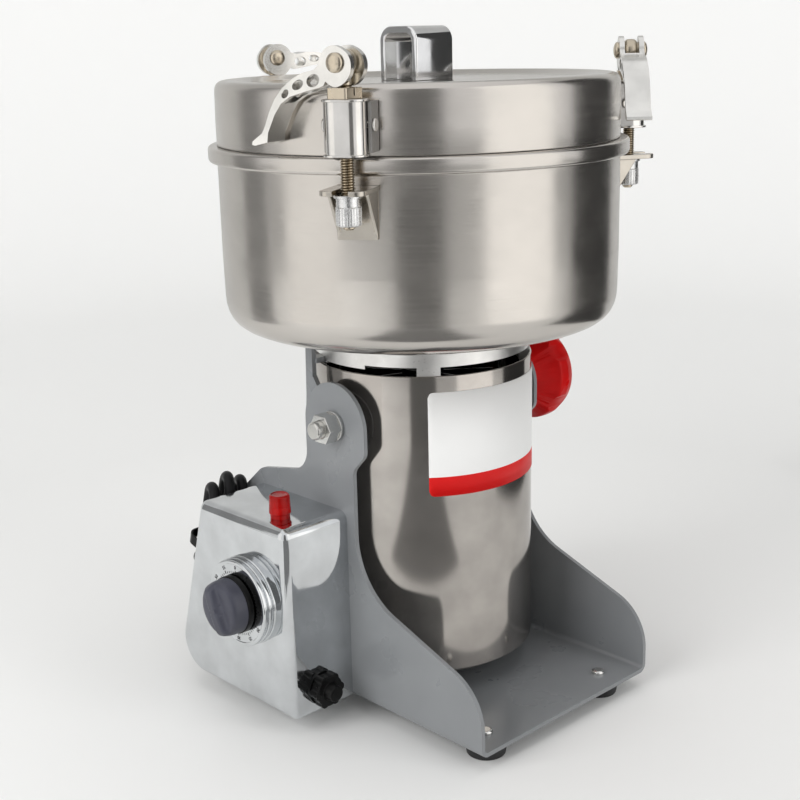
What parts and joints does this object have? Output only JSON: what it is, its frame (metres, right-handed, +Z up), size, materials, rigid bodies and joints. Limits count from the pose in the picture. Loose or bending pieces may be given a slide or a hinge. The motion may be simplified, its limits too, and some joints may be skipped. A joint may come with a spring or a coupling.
{
  "type": "electric grain mill",
  "caption": "Closed steel grinding bowl with a clamped lid, on a motor barrel that tips in a U-shaped stand with a timer box on its side.",
  "frame": {"origin": "middle of the footprint's box at the underside of the rubber feet, the mains cord left out", "axes": "+Z up, -Y the open front of the stand towards which the bowl tips, +X the side with the star-shaped knob, -X the side with the control box"},
  "size_m": [0.263, 0.2901, 0.3765],
  "materials": {
    "stand_paint": "gloss grey paint on bent sheet",
    "foot_rubber": "black rubber",
    "screw_zinc": "zinc-plated",
    "box_chrome": "bright plated sheet",
    "timer_plastic": "black moulded",
    "dial_plate": "spun rings with a printed scale",
    "knob_plastic": "slate-grey moulded",
    "lens_red": "red translucent lens",
    "fuse_plastic": "black moulded",
    "gland_rubber": "black rubber",
    "cord_sheath": "black PVC sheath",
    "tie_plastic": "black band",
    "plug_plastic": "black moulded plug",
    "shell_steel": "polished stainless sheet",
    "cover_steel": "pressed sheet",
    "bell_aluminium": "cast and turned",
    "lamination_steel": "stacked electrical steel",
    "copper_wire": "enamelled copper",
    "brush_holder_plastic": "brown phenolic",
    "carbon": "graphite",
    "bearing_steel": "ground steel",
    "arm_steel": "grey painted plate",
    "stud_steel": "plated threaded stud",
    "star_plastic": "red moulded",
    "label_film": "bare white film with a red band",
    "bowl_steel": "spun stainless",
    "blade_steel": "stainless",
    "seal_rubber": "black rubber",
    "clamp_nickel": "bright nickel plate",
    "commutator_copper": "segmented copper",
    "fan_plastic": "black moulded",
    "gasket_silicone": "pale silicone",
    "handle_chrome": "bent bright strap",
    "lug_steel": "plated steel",
    "clamp_brass": "bronze-toned plating",
    "lever_nickel": "bright nickel plate",
    "nut_aluminium": "knurled"
  },
  "bodies": {
    "stand": {"base_bracket": "stand_paint", "rubber_feet": "foot_rubber", "foot_screws": "screw_zinc", "control_box_cover": "box_chrome", "timer_body": "timer_plastic", "timer_dial": "dial_plate", "pilot_lamp": "lens_red", "fuse_holder": "fuse_plastic", "cord_gland": "gland_rubber", "power_cord": "cord_sheath", "cord_hank": "cord_sheath", "cord_tie": "tie_plastic", "power_plug": "plug_plastic"},
    "timer_knob": {"timer_knob": "knob_plastic"},
    "fuse_cap": {"fuse_cap": "fuse_plastic"},
    "mill": {"motor_shell": "shell_steel", "bottom_cover": "cover_steel", "end_bell": "bell_aluminium", "lower_bracket": "bell_aluminium", "tie_bolts": "screw_zinc", "stator_core": "lamination_steel", "stator_windings": "copper_wire", "brush_holders": "brush_holder_plastic", "carbon_brushes": "carbon", "ball_bearings": "bearing_steel", "pivot_arms": "arm_steel", "arm_screws": "screw_zinc", "pivot_studs": "stud_steel", "pivot_washer": "screw_zinc", "pivot_nut": "screw_zinc", "rating_plate": "label_film", "bowl": "bowl_steel", "bowl_screws": "blade_steel", "shaft_seal": "seal_rubber", "hook_plates": "clamp_nickel"},
    "star_knob": {"star_knob": "star_plastic"},
    "rotor": {"rotor_shaft": "bearing_steel", "armature_core": "lamination_steel", "armature_windings": "copper_wire", "commutator": "commutator_copper", "cooling_fan": "fan_plastic", "cutting_blades": "blade_steel", "blade_spacer": "blade_steel", "blade_nut": "blade_steel"},
    "lid": {"lid_shell": "bowl_steel", "lid_gasket": "gasket_silicone", "lid_handle": "handle_chrome", "clamp_lugs": "lug_steel", "clamp_sleeves": "clamp_nickel", "clamp_rivets": "clamp_nickel", "clamp_saddles": "clamp_brass"},
    "draw_bolt_rear": {"draw_bolt_rear": "clamp_brass"},
    "clamp_lever_rear": {"clamp_lever_rear": "lever_nickel"},
    "clamp_nut_rear": {"clamp_nut_rear": "nut_aluminium"},
    "draw_bolt_left": {"draw_bolt_left": "clamp_brass"},
    "clamp_lever_left": {"clamp_lever_left": "lever_nickel"},
    "clamp_nut_left": {"clamp_nut_left": "nut_aluminium"},
    "draw_bolt_right": {"draw_bolt_right": "clamp_brass"},
    "clamp_lever_right": {"clamp_lever_right": "lever_nickel"},
    "clamp_nut_right": {"clamp_nut_right": "nut_aluminium"}
  },
  "joints": [
    {"name": "tilt", "type": "hinge", "parent": "stand", "child": "mill", "pos_m": [0.00962, -0.01275, 0.168], "axis": [1, 0, 0], "range_deg": [0, 100]},
    {"name": "star_knob_turn", "type": "hinge", "parent": "mill", "child": "star_knob", "pos_m": [0.09962, -0.01275, 0.168], "axis": [1, 0, 0], "continuous": true},
    {"name": "rotor_spin", "type": "hinge", "parent": "mill", "child": "rotor", "pos_m": [0.00962, -0.01075, 0.12], "axis": [0, 0, 1], "continuous": true},
    {"name": "lid_lift", "type": "slide", "parent": "mill", "child": "lid", "axis": [0, 0, 1], "range_m": [0, 0.15]},
    {"name": "timer_turn", "type": "hinge", "parent": "stand", "child": "timer_knob", "pos_m": [-0.11038, 0.01125, 0.074], "axis": [1, 0, 0], "range_deg": [0, 300]},
    {"name": "fuse_cap_turn", "type": "hinge", "parent": "stand", "child": "fuse_cap", "pos_m": [-0.08338, -0.02875, 0.0233], "axis": [0, -1, 0], "range_deg": [0, 90]},
    {"name": "bolt_drop_rear", "type": "slide", "parent": "lid", "child": "draw_bolt_rear", "axis": [0, 0, -1], "range_m": [-0.00056, 0.00321]},
    {"name": "lever_rear", "type": "hinge", "parent": "draw_bolt_rear", "child": "clamp_lever_rear", "pos_m": [0.00962, 0.11325, 0.36015], "axis": [-0.2924, -0.9563, 0], "range_deg": [-22, 128]},
    {"name": "nut_turn_rear", "type": "hinge", "parent": "draw_bolt_rear", "child": "clamp_nut_rear", "pos_m": [0.00962, 0.11325, 0.291], "axis": [0, 0, 1], "continuous": true},
    {"name": "bolt_drop_left", "type": "slide", "parent": "lid", "child": "draw_bolt_left", "axis": [0, 0, -1], "range_m": [0, 0.00376]},
    {"name": "lever_left", "type": "hinge", "parent": "draw_bolt_left", "child": "clamp_lever_left", "pos_m": [-0.09777, -0.07275, 0.3607], "axis": [0.9744, 0.225, 0], "range_deg": [0, 150]},
    {"name": "nut_turn_left", "type": "hinge", "parent": "draw_bolt_left", "child": "clamp_nut_left", "pos_m": [-0.09777, -0.07275, 0.291], "axis": [0, 0, 1], "continuous": true},
    {"name": "bolt_drop_right", "type": "slide", "parent": "lid", "child": "draw_bolt_right", "axis": [0, 0, -1], "range_m": [-0.00009, 0.00368]},
    {"name": "lever_right", "type": "hinge", "parent": "draw_bolt_right", "child": "clamp_lever_right", "pos_m": [0.11701, -0.07275, 0.36062], "axis": [-0.682, 0.7314, 0], "range_deg": [-3, 147]},
    {"name": "nut_turn_right", "type": "hinge", "parent": "draw_bolt_right", "child": "clamp_nut_right", "pos_m": [0.11701, -0.07275, 0.291], "axis": [0, 0, 1], "continuous": true}
  ],
  "couplings": [
    {"joint": "bolt_drop_rear", "follows": "lever_rear", "m_per_rad": 0.0014324},
    {"joint": "bolt_drop_left", "follows": "lever_left", "m_per_rad": 0.0014324},
    {"joint": "bolt_drop_right", "follows": "lever_right", "m_per_rad": 0.0014324}
  ]
}
